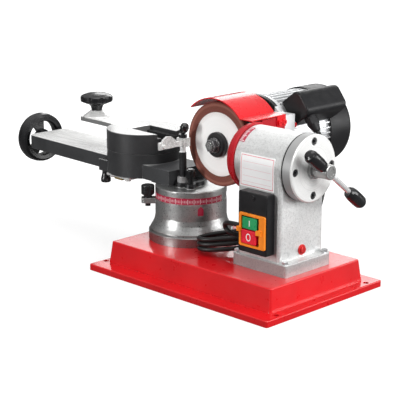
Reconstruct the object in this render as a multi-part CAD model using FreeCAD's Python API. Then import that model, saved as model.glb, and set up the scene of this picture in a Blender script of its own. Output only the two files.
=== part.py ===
import FreeCAD, Part
import math
import os

os.makedirs("parts", exist_ok=True)

# Bench sharpener for carbide saw blades. Millimetres, +Z up, origin at the
# middle of the base footprint on the bench. +X is the feed handle side, -Y the
# operator's side (front), the motor overhangs towards +Y (back).
# The arm frame has its origin on the drum axis. The arm runs along its -X, and
# s is the distance out from the axis (x = -s).

# base tray (pressed sheet)
BASE_L, BASE_W, LIP_H, SHEET = 360.0, 248.0, 9.5, 2.5
PLAT_L, PLAT_W, PLAT_Z = 320.0, 190.0, 43.0
WALL_RUN = 4.0                      # how far the platform wall leans out

# pedestal and turntable
DRUM = (-94.0, 7.0)
DRUM_R, DRUM_FLANGE_R, DRUM_TOP, TURN_Z = 54.0, 64.0, 125.0, 105.0
PED_TOP = 104.6
POST = (DRUM[0] + 1.0, DRUM[1] - 18.0)       # tooth stop post
AUX = (DRUM[0] + 18.0, DRUM[1] - 18.8)       # post clamp knob

# slide arm, in the arm frame
ARM_YAW = math.degrees(-0.050)
ARM_Y0, ARM_Y1 = -36.0, 42.0
ARM_S0, ARM_S1 = 10.0, 372.0
ARM_Z0, ARM_Z1 = 125.0, 148.0
LEAD_Y, LEAD_Z, LEAD_R = 3.0, 135.5, 6.0
ARM_SCREWS = [(-20.0, -24.0), (-20.0, 30.0), (-40.0, -20.0), (-40.0, 24.0)]

# column and feed
FEED_Z = 191.0
COL_X0, COL_X1, COL_R = 54.0, 132.0, 46.0
COL_MID = (COL_X0 + COL_X1) / 2
CYL_X0 = 44.0
COVER_X1 = 151.0

# grinding head
WHEEL_X, WHEEL_Z = -36.0, 195.0

Vec = FreeCAD.Vector
Rotation = FreeCAD.Rotation
X, Y, Z = Vec(1, 0, 0), Vec(0, 1, 0), Vec(0, 0, 1)
DOWN = Z * -1


# ------------------------------------------------------------------ helpers
def cyl(radius, length, base, axis=Z):
    return Part.makeCylinder(radius, length, Vec(*base), axis)


def tube(inner, outer, length, base, axis=Z):
    start = Vec(*base) - Vec(*axis).normalize()
    return cyl(outer, length, base, axis).cut(cyl(inner, length + 2, start, axis))


def cone(radius0, radius1, length, base, axis=Z):
    return Part.makeCone(radius0, radius1, length, Vec(*base), axis)


def box(x0, x1, y0, y1, z0, z1):
    return Part.makeBox(x1 - x0, y1 - y0, z1 - z0, Vec(x0, y0, z0))


def fuse(items):
    return items[0].fuse(items[1:]).removeSplitter()


def at(longer=0.0, shorter=1e9, **centre):
    """Edge picker: by coordinates of the edge's centre and by its length."""
    def pick(edge):
        near = all(abs(getattr(edge.CenterOfMass, key) - value) < 0.01
                   for key, value in centre.items())
        return near and longer < edge.Length < shorter
    return pick


def soften(shape, size, pick, chamfer=False):
    edges = [edge for edge in shape.Edges if pick(edge)]
    if not edges:
        return shape
    # guards against a fillet or chamfer the kernel cannot build: edges stay sharp
    try:
        result = shape.makeChamfer(size, edges) if chamfer else shape.makeFillet(size, edges)
        if result.isValid() and result.Volume > 0:
            return result
    except Exception:
        pass
    return shape


def moved(shape, base=(0, 0, 0), rotation=Rotation()):
    result = shape.copy()
    result.Placement = FreeCAD.Placement(Vec(*base), rotation).multiply(result.Placement)
    return result


def polar(radius, degrees, centre=(0.0, 0.0)):
    angle = math.radians(degrees)
    return centre[0] + radius * math.cos(angle), centre[1] + radius * math.sin(angle)


def around(radius, angles, centre=(0.0, 0.0)):
    return [polar(radius, degrees, centre) for degrees in angles]


def rods(radius, length, spots, level, axis=Z):
    """Parallel cylinders; spots are the other two coordinates, in x, y, z order."""
    result = []
    for first, second in spots:
        if axis is X:
            base = (level, first, second)
        elif axis is Y:
            base = (first, level, second)
        else:
            base = (first, second, level)
        result.append(cyl(radius, length, base, axis))
    return result


def prism(points, travel):
    return Part.Face(Part.makePolygon(points + points[:1])).extrude(travel)


def turned(profile, axis=Z, radial=X, centre=(0, 0, 0)):
    """Full revolution of (radius, distance along axis) points."""
    middle = Vec(*centre)
    points = [middle + radial * radius + axis * along for radius, along in profile]
    return Part.Face(Part.makePolygon(points + points[:1])).revolve(middle, axis, 360)


def hexagon(across_flats, height, base, axis=Z, hole=0.0):
    """Hexagonal prism, its corners bevelled at the base end."""
    corner = across_flats / math.sqrt(3)
    points = [Vec(*polar(corner, 60 * i), 0) for i in range(6)]
    bevel = cone(corner + 0.02 - 0.6, corner + 0.02 + height * 1.7, height + 0.6, (0, 0, 0))
    bevel = bevel.fuse(cyl(corner * 0.93, height, (0, 0, 0)))
    result = prism(points, Vec(0, 0, height)).common(bevel)
    if hole:
        result = result.cut(cyl(hole, height + 2, (0, 0, -1)))
    return moved(result, base, Rotation(Z, axis))


def rounded(length, width, radius, z, mid_x=0.0, mid_y=0.0):
    """Rounded rectangle wire at height z."""
    sides = [Y * -1, X, Y, X * -1]
    arcs = []
    for i in range(4):
        before, after = sides[i], sides[(i + 1) % 4]
        diagonal = before + after
        centre = Vec(mid_x + diagonal.x * (length / 2 - radius),
                     mid_y + diagonal.y * (width / 2 - radius), z)
        arcs.append([centre + before * radius, centre + diagonal * (radius * math.sqrt(0.5)),
                     centre + after * radius])
    edges = []
    for i in range(4):
        edges += [Part.makeLine(arcs[i - 1][2], arcs[i][0]), Part.Arc(*arcs[i]).toShape()]
    return Part.Wire(edges)


def slab(length, width, radius, z0, z1, mid_x=0.0, mid_y=0.0):
    outline = rounded(length, width, radius, z0, mid_x, mid_y)
    return Part.Face(outline).extrude(Vec(0, 0, z1 - z0))


def sweep(points, radius):
    curve = Part.BSplineCurve()
    curve.interpolate([Vec(*point) for point in points])
    start = curve.FirstParameter
    circle = Part.Circle(curve.value(start), curve.tangent(start)[0], radius)
    path = Part.Wire([curve.toShape()])
    return path.makePipeShell([Part.Wire([circle.toShape()])], True, True)


def fluted_knob(radius, lobes, depth, height, base):
    knob = cyl(radius, height, (0, 0, 0))
    knob = soften(knob, min(2.0, height / 4), at())
    flute_r = radius * 0.30
    angles = [360 * (i + 0.5) / lobes for i in range(lobes)]
    flutes = rods(flute_r, height + 2, around(radius + flute_r - depth, angles), -1)
    return moved(knob.cut(flutes), base)


def screw(radius, head_r, head_h, length, base, axis, socket):
    """Cap screw: the head stands on base along axis, the shank runs the other way."""
    result = cyl(head_r, head_h, base, axis).fuse(cyl(radius, length, base, axis * -1))
    return result.cut(hexagon(socket, head_h, Vec(*base) + axis * (head_h * 0.45), axis))


def on_drum(z):
    return DRUM[0], DRUM[1], z


def arm(shape):
    """From the arm frame to the machine frame."""
    return moved(shape, on_drum(0), Rotation(Z, ARM_YAW))


def arm_box(s0, s1, y0, y1, z0, z1):
    return box(-s1, -s0, y0, y1, z0, z1)


def lead_at(s):
    return -s, LEAD_Y, LEAD_Z


def lead_rod(radius, s0, s1):
    return cyl(radius, s1 - s0, lead_at(s1), X)


def feed_rod(radius, length, x):
    return cyl(radius, length, (x, 0, FEED_Z), X)


def spin_rod(radius, length, y):
    return cyl(radius, length, (WHEEL_X, y, WHEEL_Z), Y)


def spin_tube(inner, outer, length, y):
    return tube(inner, outer, length, (WHEEL_X, y, WHEEL_Z), Y)


def on_spindle(shape, y, degrees):
    """Moves a shape to the wheel axis and turns it, +X towards +Z."""
    return moved(shape, (WHEEL_X, y, WHEEL_Z), Rotation(Y, -degrees))


NODES = {}


def add(name, *shapes):
    """Adds solids to a node; several pieces may share one node."""
    NODES.setdefault(name, []).extend(solid for shape in shapes for solid in shape.Solids)


def add_on_arm(name, *shapes):
    add(name, *[arm(shape) for shape in shapes])


# ------------------------------------------------------------------ base tray
BENCH_HOLES = [(x, y) for x in (-172.0, 172.0) for y in (-97.0, 97.0)]
PED_BOLTS = around(52, (45, 165, 285), DRUM)
COL_BOLTS = [(x, y) for x in (49.3, 139.0) for y in (-42.0, 42.0)]
PLAT_FOOT_L, PLAT_FOOT_W = PLAT_L + 2 * WALL_RUN, PLAT_W + 2 * WALL_RUN

lip = slab(BASE_L, BASE_W, 3.2, 0, LIP_H)
lip = soften(lip, 1.6, at(z=LIP_H))
platform = Part.makeLoft([rounded(PLAT_FOOT_L, PLAT_FOOT_W, 3.4, LIP_H - 0.5),
                          rounded(PLAT_L, PLAT_W, 2.8, PLAT_Z)], True, True)
platform = soften(platform, 1.8, at(z=PLAT_Z))
# the hollow is the same form, one sheet thickness smaller
lip_hollow = slab(BASE_L - 2 * SHEET, BASE_W - 2 * SHEET, 1.6, -1, LIP_H - SHEET)
plat_hollow = Part.makeLoft([
    rounded(PLAT_FOOT_L - 2 * SHEET, PLAT_FOOT_W - 2 * SHEET, 1.6, LIP_H - SHEET - 0.5),
    rounded(PLAT_L - 2 * SHEET, PLAT_W - 2 * SHEET, 1.2, PLAT_Z - SHEET)], True, True)
tray = lip.fuse(platform).cut([lip_hollow, plat_hollow])
# a spacer bush under the lip at each bench bolt
tray = tray.fuse(rods(7.4, LIP_H - 1.0, BENCH_HOLES, 0))
tray = tray.cut(rods(4.25, 20, BENCH_HOLES, -2) + rods(4.3, 20, PED_BOLTS, 30)
                + rods(2.8, 20, COL_BOLTS, 30)).removeSplitter()
add("base_tray", tray)

# ------------------------------------------------------------------ pedestal
LOCK_ANGLE = 225
LOCK = polar(65.2, LOCK_ANGLE, DRUM)
# (radius, z)
PEDESTAL_PROFILE = [
    (30, PLAT_Z), (DRUM_FLANGE_R, PLAT_Z), (DRUM_FLANGE_R, 56.5), (DRUM_FLANGE_R - 1, 57.5),
    (61.2, 58.0), (60.2, 59.2), (61.6, 60.6), (58.4, 66.0), (55.6, 72.0), (DRUM_R, 80.0),
    (DRUM_R, PED_TOP), (12.05, PED_TOP), (12.05, 94), (46, 94), (46, 52), (30, 52)]

pedestal = turned(PEDESTAL_PROFILE, centre=on_drum(0))
lug = moved(slab(27, 15, 5, PED_TOP - 8, PED_TOP, 61.5, 0), on_drum(0),
            Rotation(Z, LOCK_ANGLE)).cut(cyl(50, 60, on_drum(60)))
pedestal = fuse([pedestal, lug])
pedestal = pedestal.cut([cyl(4.05, 30, (*LOCK, 88))] + rods(4.05, 11, PED_BOLTS, PLAT_Z - 1))
add("pedestal", pedestal)
add("mounting_bolts", *[screw(4, 7.0, 5.0, 10.0, (x, y, PLAT_Z - SHEET), DOWN, 6)
                        for x, y in PED_BOLTS])

# pointer plate on the drum, under the scale
POINTER_ANGLE = -29.6
POINTER = [(-4.4, 89.5), (4.4, 89.5), (4.4, 99), (0, 103.4), (-4.4, 99)]  # (y, z)
pointer = prism([Vec(0, y, z) for y, z in POINTER], Vec(8, 0, 0))
pointer = moved(pointer, (*polar(50, POINTER_ANGLE, DRUM), 0), Rotation(Z, POINTER_ANGLE))
add("scale_plates", pointer.common(tube(DRUM_R, DRUM_R + 0.6, 30, on_drum(80))))

# ------------------------------------------------------------------ turntable
SCALE_Z0, SCALE_Z1 = 106.2, 115.8
SCALE_IN = DRUM_R - 0.7             # floor radius of the groove for the scale
BOSS_R, BOSS_TOP = 21.0, 132.0
BOSS_Z, BOSS_H = DRUM_TOP - 1, BOSS_TOP - DRUM_TOP + 1

turntable = cyl(DRUM_R, DRUM_TOP - TURN_Z, on_drum(TURN_Z))
turntable = soften(turntable, 1.2, at(z=DRUM_TOP))
turntable = turntable.cut(tube(SCALE_IN, DRUM_R + 2, SCALE_Z1 - SCALE_Z0, on_drum(SCALE_Z0)))
boss = cyl(BOSS_R, BOSS_H, on_drum(BOSS_Z)).fuse(
    [cyl(11.5, BOSS_H, (*POST, BOSS_Z)), cyl(8.0, BOSS_H, (*AUX, BOSS_Z))])
boss = boss.cut(arm(arm_box(ARM_S0, 80, -60, 60, DRUM_TOP, 160)))
turntable = fuse([turntable, boss, cyl(12.0, 11.6, on_drum(93.9))])
turntable = turntable.cut(
    [cyl(5.1, 60, on_drum(85)), cyl(11.0, 8, on_drum(DRUM_TOP)),
     cyl(5.52, 30, (*POST, 117.0)), cyl(3.05, 30, (*AUX, 120.0))]
    + [arm(hole) for hole in rods(3.1, 40, ARM_SCREWS, 100)]
    + [arm(hole) for hole in rods(5.7, 6.2, ARM_SCREWS, 104)])
add("turntable", turntable)

# the scale covers 216 degrees of the drum
tape = tube(SCALE_IN, DRUM_R - 0.05, SCALE_Z1 - SCALE_Z0, on_drum(SCALE_Z0))
sector = Part.makeCylinder(80, 40, Vec(*on_drum(90)), Z, 216)
sector.rotate(Vec(*on_drum(0)), Z, 157)
add("turntable_scale", tape.common(sector))

add("pivot_bolt", fuse([
    cyl(5.0, 42.0, on_drum(83.5)), hexagon(16, 6.5, on_drum(DRUM_TOP)),
    cyl(16.0, 2.0, on_drum(91.9)), hexagon(16, 7.0, on_drum(84.9))]))
add_on_arm("pivot_bolt", *[screw(3, 5.4, 5.0, 20.0, (x, y, 110.2), DOWN, 4)
                           for x, y in ARM_SCREWS])

# turntable lock: clamp screw through the pedestal lug
add("turntable_lock_knob", fuse([
    fluted_knob(10.0, 5, 2.4, 15.2, (*LOCK, 109.0)),
    cyl(6.2, 4.8, (*LOCK, 104.7)), cyl(4.0, 19.0, (*LOCK, 91.5))]))

# ------------------------------------------------------------------ slide arm
CHAN_S0, CHAN_S1, CHAN_R = 62, 356, 8.0     # channel round the leadscrew, open below

slide = arm_box(ARM_S0, ARM_S1, ARM_Y0, ARM_Y1, ARM_Z0, ARM_Z1)
slide = soften(slide, 13.0, at(x=-ARM_S1, z=(ARM_Z0 + ARM_Z1) / 2))
slide = soften(slide, 0.8, at(z=ARM_Z1))
channel = fuse([arm_box(CHAN_S0, CHAN_S1, LEAD_Y - CHAN_R, LEAD_Y + CHAN_R, 124, LEAD_Z),
                lead_rod(CHAN_R, CHAN_S0, CHAN_S1)])
slide = slide.cut([channel, lead_rod(LEAD_R + 0.05, 355, 380), lead_rod(LEAD_R + 0.05, 48, 63)]
                  + rods(3.0, 16, ARM_SCREWS, 124))
# shallow grooves along both bottom edges
slide = slide.cut([arm_box(50, 372, ARM_Y0 - 1, ARM_Y0 + 3.0, 124, 126.15),
                   arm_box(50, 372, ARM_Y1 - 3.0, ARM_Y1 + 1, 124, 126.15)])
add_on_arm("slide_arm", slide)


# ------------------------------------------------------------------ leadscrew, handwheel
WHEEL_S = 379.6
LEAD_NUT_S = WHEEL_S + 15.6


def thread_grooves(places, y, z):
    """Rings cut into a screw of radius LEAD_R, standing in for its thread."""
    return [tube(5.2, 7.0, 2.2, (x, y, z), X) for x in places]


leadscrew = fuse([lead_rod(LEAD_R, 49, WHEEL_S + 14.0), lead_rod(9.0, 372.2, WHEEL_S - 0.5)])
leadscrew = leadscrew.cut(thread_grooves(range(-140, -340, -5), LEAD_Y, LEAD_Z))
add_on_arm("leadscrew", leadscrew)
washer = lead_rod(8.4, LEAD_NUT_S, LEAD_NUT_S + 1.2).cut(lead_rod(LEAD_R, 300, 450))
add_on_arm("leadscrew", fuse([hexagon(13, 6.0, lead_at(LEAD_NUT_S), X * -1, LEAD_R), washer]))

# handwheel: rim, web with three openings, hub; (radius, distance along axis)
RIM_PROFILE = [
    (29.0, 3.4), (30.6, 0.8), (36.6, 0.0), (40.3, 2.8), (41.5, 9.4), (41.4, 16.6),
    (39.8, 21.6), (36.4, 24.6), (33.2, 24.2), (30.4, 20.4), (29.0, 14.0)]
OPEN_IN, OPEN_OUT = 14.6, 28.2      # radii bounding an opening


def web_opening(middle):
    def point(radius, turn):
        return Vec(4.0, *polar(radius, middle + turn))

    outline = Part.Wire([
        Part.makeLine(point(OPEN_OUT, -38), point(OPEN_IN, -33)),
        Part.Arc(point(OPEN_IN, -33), point(OPEN_IN, 0), point(OPEN_IN, 33)).toShape(),
        Part.makeLine(point(OPEN_IN, 33), point(OPEN_OUT, 38)),
        Part.Arc(point(OPEN_OUT, 38), point(OPEN_OUT, 0), point(OPEN_OUT, -38)).toShape()])
    return Part.Face(outline).extrude(Vec(8, 0, 0))


web = tube(10.0, 30.0, 6.0, (5.0, 0, 0), X)
web = web.cut([web_opening(13 + 120 * k) for k in range(3)])
handwheel = fuse([turned(RIM_PROFILE, X, Y), web, tube(LEAD_R, 11.5, 16.0, (0.5, 0, 0), X)])
add_on_arm("handwheel", moved(handwheel, lead_at(WHEEL_S - 0.9), Rotation(Z, 180)))

# ------------------------------------------------------------------ carriage
CARR_X, CARR_R = -113.2, 58.2
CARR_TOP, CARR_SPLIT, CARR_BOT = 194.0, 163.5, 126.0
BAR_W, BAR_T, BAR_S0, BAR_S1 = 38.0, 6.5, 121.0, 253.0
BAR_BOT = CARR_TOP - BAR_T
CARR_LOCK = (-153.0, -42.6)
KEEP_SCREWS = [(x, y) for y in (-45.5, 51.5) for x in (-132.0, -94.0)]
PINS = [(CARR_X + x, LEAD_Y + y) for (x, _), (_, y) in
        zip(around(30, (60, 120, 240, 300)), around(44, (60, 120, 240, 300)))]

arm_slot = arm_box(0, 250, ARM_Y0 - 0.12, ARM_Y1 + 0.12, 120, ARM_Z1 + 0.15)
lower = cyl(CARR_R - 0.4, CARR_SPLIT - CARR_BOT, (CARR_X, LEAD_Y, CARR_BOT))
lower = lower.cut([arm_slot])
lower = soften(lower, 0.8, at(z=CARR_SPLIT), True)
lower = fuse([lower, slab(26, 11.4, 3, CARR_BOT, 143.5, -152.0, -42.5)]).cut(arm_slot)
lower = lower.cut([cyl(3.05, 14, (*CARR_LOCK, 120))] + rods(2.55, 12, KEEP_SCREWS, 124))
lower = lower.cut(rods(3.02, 60, PINS, 156.3))
add_on_arm("carriage_base", lower)

upper = cyl(CARR_R, CARR_TOP - CARR_SPLIT, (CARR_X, LEAD_Y, CARR_SPLIT))
upper = soften(upper, 0.8, at(z=CARR_TOP), True)
upper = upper.cut([
    arm_box(0, 250, LEAD_Y - BAR_W / 2 - 0.12, LEAD_Y + BAR_W / 2 + 0.12, BAR_BOT - 0.12, 210),
    arm_box(0, 250, LEAD_Y - 13, LEAD_Y + 13, 170.0, 200)])
upper = upper.cut(rods(3.02, 16.7, PINS, 155))
add_on_arm("blade_table", upper)

# pins joining the carriage halves, keep plates under the arm edges, keep screws
add_on_arm("carriage_keeps", *rods(3.0, 15.0, PINS, 156.4))
for y0, y1 in ((-51.0, -33.15), (39.15, 57.0)):
    keep = box(-140.0, -86.0, y0, y1, 123.0, CARR_BOT)
    add_on_arm("carriage_keeps", keep.cut(rods(2.7, 12, KEEP_SCREWS, 120)))
add_on_arm("carriage_keeps", *[screw(2.5, 4.6, 3.0, 11.0, (x, y, 123.0), DOWN, 3)
                               for x, y in KEEP_SCREWS])

NUT_HALF, NUT_TOP = 7.85, LEAD_Z + 7.4
nut = arm_box(98, 128, LEAD_Y - NUT_HALF, LEAD_Y + NUT_HALF, 124.6, NUT_TOP)
nut = nut.cut(lead_rod(LEAD_R + 0.05, 90, 140))
nut = soften(nut, 6.0, at(z=NUT_TOP, longer=25), True)
nut = fuse([nut, arm_box(104, 122, LEAD_Y - NUT_HALF, LEAD_Y + NUT_HALF, 122.0, 125.0),
            arm_box(104, 122, -50.0, 56.0, 119.6, 122.95)])
add_on_arm("leadscrew_nut", nut)

# (radius, z)
LOCK_KNOB_PROFILE = [
    (0, 107.6), (6.6, 107.6), (7.8, 108.8), (7.9, 113.0), (6.6, 117.6), (5.7, 121.6),
    (5.5, 125.7), (3.0, 125.7), (3.0, 133.0), (0, 133.0)]
lock_knob = turned(LOCK_KNOB_PROFILE)
lock_knob = lock_knob.cut(rods(1.6, 9.5, around(8.7, range(0, 360, 45)), 106.5))
add_on_arm("carriage_lock_knob", moved(lock_knob, (*CARR_LOCK, 0)))

# ------------------------------------------------------------------ blade bar and clamp
CLAMP_AT = (-231.8, LEAD_Y)
# (radius, z)
CONE_PROFILE = [
    (5.0, 194.0), (21.7, 194.0), (21.7, 195.8), (20.8, 196.8), (16.6, 199.8), (12.6, 202.8),
    (10.4, 204.9), (5.0, 204.9)]
CLAMP_KNOB_PROFILE = [
    (0, 233.8), (9.0, 233.3), (17.0, 231.8), (23.4, 229.4), (25.6, 227.8), (26.0, 226.6),
    (26.0, 221.2), (25.2, 219.8), (17.5, 216.6), (11.6, 214.2), (9.8, 211.0), (8.3, 205.5),
    (5.05, 205.5), (5.05, 222.6), (0, 222.6)]

blade_bar = arm_box(BAR_S0, BAR_S1, LEAD_Y - BAR_W / 2, LEAD_Y + BAR_W / 2, BAR_BOT, CARR_TOP)
blade_bar = soften(blade_bar, 4.0, at(x=-BAR_S1, shorter=8))
keel = arm_box(BAR_S0, 165.0, LEAD_Y - 12.85, LEAD_Y + 12.85, 172.0, BAR_BOT)
blade_bar = fuse([blade_bar, keel]).cut([cyl(5.02, 30, (*CLAMP_AT, 175))])
add_on_arm("blade_bar", blade_bar)

add_on_arm("centring_cone",
           fuse([cyl(5.0, 37.5, (*CLAMP_AT, 184.0)), cyl(9.0, 3.5, (*CLAMP_AT, 184.0))]),
           moved(turned(CONE_PROFILE), (*CLAMP_AT, 0)))
clamp_knob = turned(CLAMP_KNOB_PROFILE)
clamp_knob = clamp_knob.cut(rods(5.2, 40, around(29.2, range(20, 380, 40)), 200))
add_on_arm("clamp_knob", moved(clamp_knob, (*CLAMP_AT, 0)))


# ------------------------------------------------------------------ tooth stop
def post_at(z):
    return POST[0], POST[1], z


def post_box(x0, x1, y0, y1, z0, z1):
    """Box with x and y measured from the post axis."""
    return moved(box(x0, x1, y0, y1, z0, z1), post_at(0))


add("stop_post",
    fuse([cyl(5.5, 61.0, post_at(117.0)), cyl(3.0, 32.0, post_at(178.0))]),
    fuse([hexagon(15, 7.0, post_at(BOSS_TOP + 0.8), Z, 5.52),
          tube(5.52, 8.7, 0.8, post_at(BOSS_TOP))]),
    tube(3.02, 4.3, 8.4, post_at(178.0)))

stop_head = fuse([post_box(-6, 8.5, -7.0, 7.0, 186.4, 199.6),
                  cyl(7.0, 13.2, (POST[0] + 2, POST[1], 186.4))])
stop_head = stop_head.cut([cyl(3.02, 30, post_at(180)),
                           post_box(-4.7, 20, -30, 30, 200, 210),
                           post_box(3.3, 6.7, -30, 30, 189.0, 196.6)])
add("stop_head", stop_head)

# finger: blade with a raised end; (y from the post, z)
FINGER_X0, FINGER_X1 = 3.35, 6.65
FINGER_TIP = [(-49, 189.05), (-19, 189.05), (-20, 199.5), (-30, 206.4), (-38, 207.2),
              (-46, 203.0), (-49, 198.0)]
tip = prism([Vec(POST[0] + FINGER_X0, POST[1] + y, z) for y, z in FINGER_TIP],
            Vec(FINGER_X1 - FINGER_X0, 0, 0))
finger = fuse([post_box(FINGER_X0, FINGER_X1, -47.0, 5.0, 189.05, 196.55), tip])
finger = fuse([finger, post_box(0.2, FINGER_X0, -51.0, -40.0, 188.0, 199.0),
               cyl(3.0, 3.0, (POST[0] + FINGER_X1, POST[1] - 45.0, 193.5), X)])
add("stop_finger", finger)

# lever: collar on the post, inclined stem and knob; (radius, distance along stem)
LEVER_DIR = Vec(0.55, -0.35, 0.76).normalize()
LEVER_KNOB_PROFILE = [(2.62, 0), (4.4, 0), (6.0, 4), (6.6, 9), (5.8, 13.4), (3.4, 15.8),
                      (0, 16.4), (0, 4.2), (2.62, 4.2)]
stem = fuse([cyl(6.2, 5.0, post_at(199.6)), cyl(2.6, 13.0, post_at(203.0), LEVER_DIR),
             tube(3.02, 6.2, 4.0, post_at(200.4))])
add("stop_lever", stem.cut(cyl(3.02, 10.4, post_at(199.6))))
add("stop_lever", moved(turned(LEVER_KNOB_PROFILE), Vec(*post_at(203.0)) + LEVER_DIR * 9.0,
                        Rotation(Z, LEVER_DIR)))
add("post_clamp_knob", fuse([
    fluted_knob(7.6, 6, 1.5, 12.0, (*AUX, 141.0)), cyl(4.4, 9.0, (*AUX, 132.4)),
    cyl(3.0, 14.0, (*AUX, 121.0)), cyl(4.4, 1.8, (*AUX, 152.6))]))

# ------------------------------------------------------------------ column
FOOT_TOP = 61.0
COVER_SCREWS = around(38, (0, 90, 180, 270), (0, FEED_Z))      # (y, z)
BOX_SCREW_X, BOX_SCREW_Z = 96.4, 151.5
SIDE_SCREW_Z = 72
KEY_X = 84

foot = slab(100.5, 97, 5, PLAT_Z, FOOT_TOP, 94.75, 0)
foot = soften(foot, 1.5, at(z=FOOT_TOP))
body = slab(COL_X1 - COL_X0, 2 * COL_R, 6.0, 60.0, FEED_Z, COL_MID, 0)
barrel = feed_rod(COL_R, COL_X1 - CYL_X0, CYL_X0)
inner_edge = slab(40, 2 * COL_R, 2.0, 60.0, FEED_Z, COL_X0 + 20, 0)   # squarer -X corners
column = fuse([foot, body, inner_edge, barrel])
column = soften(column, 2.0, at(x=CYL_X0, longer=100))
cavity = slab(COL_X1 - COL_X0 - 16, 2 * COL_R - 16, 6, PLAT_Z - 1, 142, COL_MID, 0)
column = column.cut([cavity, feed_rod(30.0, 120, 30)]
                    + rods(3.05, 16, COVER_SCREWS, COL_X1 - 15, X)
                    + rods(2.8, 30, COL_BOLTS, 40)
                    + [cyl(3.05, 20, (COL_X1 - 15, 0, SIDE_SCREW_Z), X)]
                    + [box(70, 120, -60, -30, 96, 118)] + [cyl(5.0, 30, (COL_MID, 34, 60), Y)])
# seat for the quill key
column = column.cut([cyl(4.05, 30, (KEY_X, 0, FEED_Z - 42), Z)])
# openings for the switch block, its box screw and the motor cord
column = column.cut([box(78.4, 105.6, -60, -30, 83.8, 124.6),
                     cyl(2.2, 24, (BOX_SCREW_X, -60, BOX_SCREW_Z), Y),
                     cyl(4.2, 30, (COL_MID, 34, 84), Y)])
quill_key = fuse([cyl(4.0, 11.3, (KEY_X, 0, 149.5)), cyl(2.6, 5.1, (KEY_X, 0, 159.5))])
add("column", column, quill_key)

add("mounting_bolts", *[fuse([hexagon(8, 4.0, (x, y, FOOT_TOP)), cyl(2.5, 28.0, (x, y, 33.5))])
                        for x, y in COL_BOLTS])
add("mounting_bolts", *[hexagon(8, 4.5, (x, y, PLAT_Z - SHEET - 4.5), Z, 2.5)
                        for x, y in COL_BOLTS])

# nameplate on the front: flat below the feed axis, wrapped over the barrel above
PLATE_X0, PLATE_X1, PLATE_T = 57.0, 120.0, 0.6
flat = box(PLATE_X0, PLATE_X1, -COL_R - PLATE_T, -COL_R, 159.8, FEED_Z)
wrap = tube(COL_R, COL_R + PLATE_T, PLATE_X1 - PLATE_X0, (PLATE_X0, 0, FEED_Z), X)
wrap = wrap.common(box(PLATE_X0, PLATE_X1, -60, -30, FEED_Z, 206.5))
add("nameplate", fuse([flat, wrap]))

# slotted screw with washer, low on the +X face
side_head = soften(cyl(5.0, 3.4, (COL_X1 + 1.2, 0, SIDE_SCREW_Z), X), 1.0, at(x=COL_X1 + 4.6))
side_screw = fuse([side_head, cyl(7.5, 1.2, (COL_X1, 0, SIDE_SCREW_Z), X),
                   cyl(3.0, 12.0, (COL_X1 - 12, 0, SIDE_SCREW_Z), X)])
add("cover_screws", side_screw.cut(box(COL_X1 + 3.4, COL_X1 + 6, -0.7, 0.7, 60, 80)))

# ------------------------------------------------------------------ end cover
COVER_R, COVER_X0 = 47.5, COL_X1 + 1.4
cover = fuse([feed_rod(COVER_R, COVER_X1 - COVER_X0, COVER_X0),
              feed_rod(COVER_R - 2.6, 1.6, COL_X1), feed_rod(29.92, 4.0, COL_X1 - 4)])
cover = soften(cover, 1.6, at(x=COVER_X1), True)
cover = cover.cut([feed_rod(14.0, 5.5, COL_X1 - 5), feed_rod(LEAD_R + 0.05, 40, 120)]
                  + rods(5.7, 7, COVER_SCREWS, COVER_X1 - 6.5, X)
                  + rods(3.2, 30, COVER_SCREWS, COL_X1 - 5, X))
add("end_cover", cover)
add("cover_screws", *[screw(3.0, 5.2, 5.4, 24.0, (COVER_X1 - 6.5, y, z), X, 5)
                      for y, z in COVER_SCREWS])

# ------------------------------------------------------------------ feed handle
HUB_R, HUB_X1, TOMMY_R = 10.8, 182.0, 3.75
TOMMY_DIR = Vec(0.0, -0.795, 0.606).normalize()
TOMMY_MID = Vec(174.5, 0, FEED_Z)
# (radius, distance along the bar)
GRIP_PROFILE = [(3.76, 0), (6.4, 0), (8.6, 3.0), (9.6, 10), (9.8, 24), (9.4, 33), (7.6, 37),
                (4.0, 38.4), (0, 38.6), (0, 33.0), (3.76, 33.0)]

tommy_hole = cyl(TOMMY_R + 0.05, 80, TOMMY_MID - TOMMY_DIR * 40, TOMMY_DIR)
feed_screw = fuse([feed_rod(LEAD_R, 121.5, 60.0), feed_rod(12.0, 3.0, COL_X1 - 2.6)])
feed_screw = feed_screw.cut(thread_grooves(range(64, 100, 4), 0, FEED_Z)).cut(tommy_hole)
add("feed_screw", feed_screw)
hub = fuse([feed_rod(HUB_R, HUB_X1 - 156.0, 156.0), feed_rod(HUB_R + 2.4, 4.7, 151.3)])
hub = soften(hub, 1.5, at(x=HUB_X1))
add("feed_hub", hub.cut([feed_rod(LEAD_R, 31.0, 151.0), tommy_hole]))
add("tommy_bar", cyl(TOMMY_R, 137.0, TOMMY_MID - TOMMY_DIR * 93.0, TOMMY_DIR))
grip = turned(GRIP_PROFILE)
add("handle_grips",
    moved(grip, TOMMY_MID + TOMMY_DIR * 11.0, Rotation(Z, TOMMY_DIR)),
    moved(grip, TOMMY_MID - TOMMY_DIR * 60.0, Rotation(Z, TOMMY_DIR * -1)))

# ------------------------------------------------------------------ quill
QUILL_X0, NOSE_R = CYL_X0 + 0.6, 19.95
RETAINER_X = 30.0
RETAINER_SCREWS = [(y, FEED_Z + z) for y, z in ((13, 0), (-6.5, 11.26), (-6.5, -11.26))]

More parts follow.
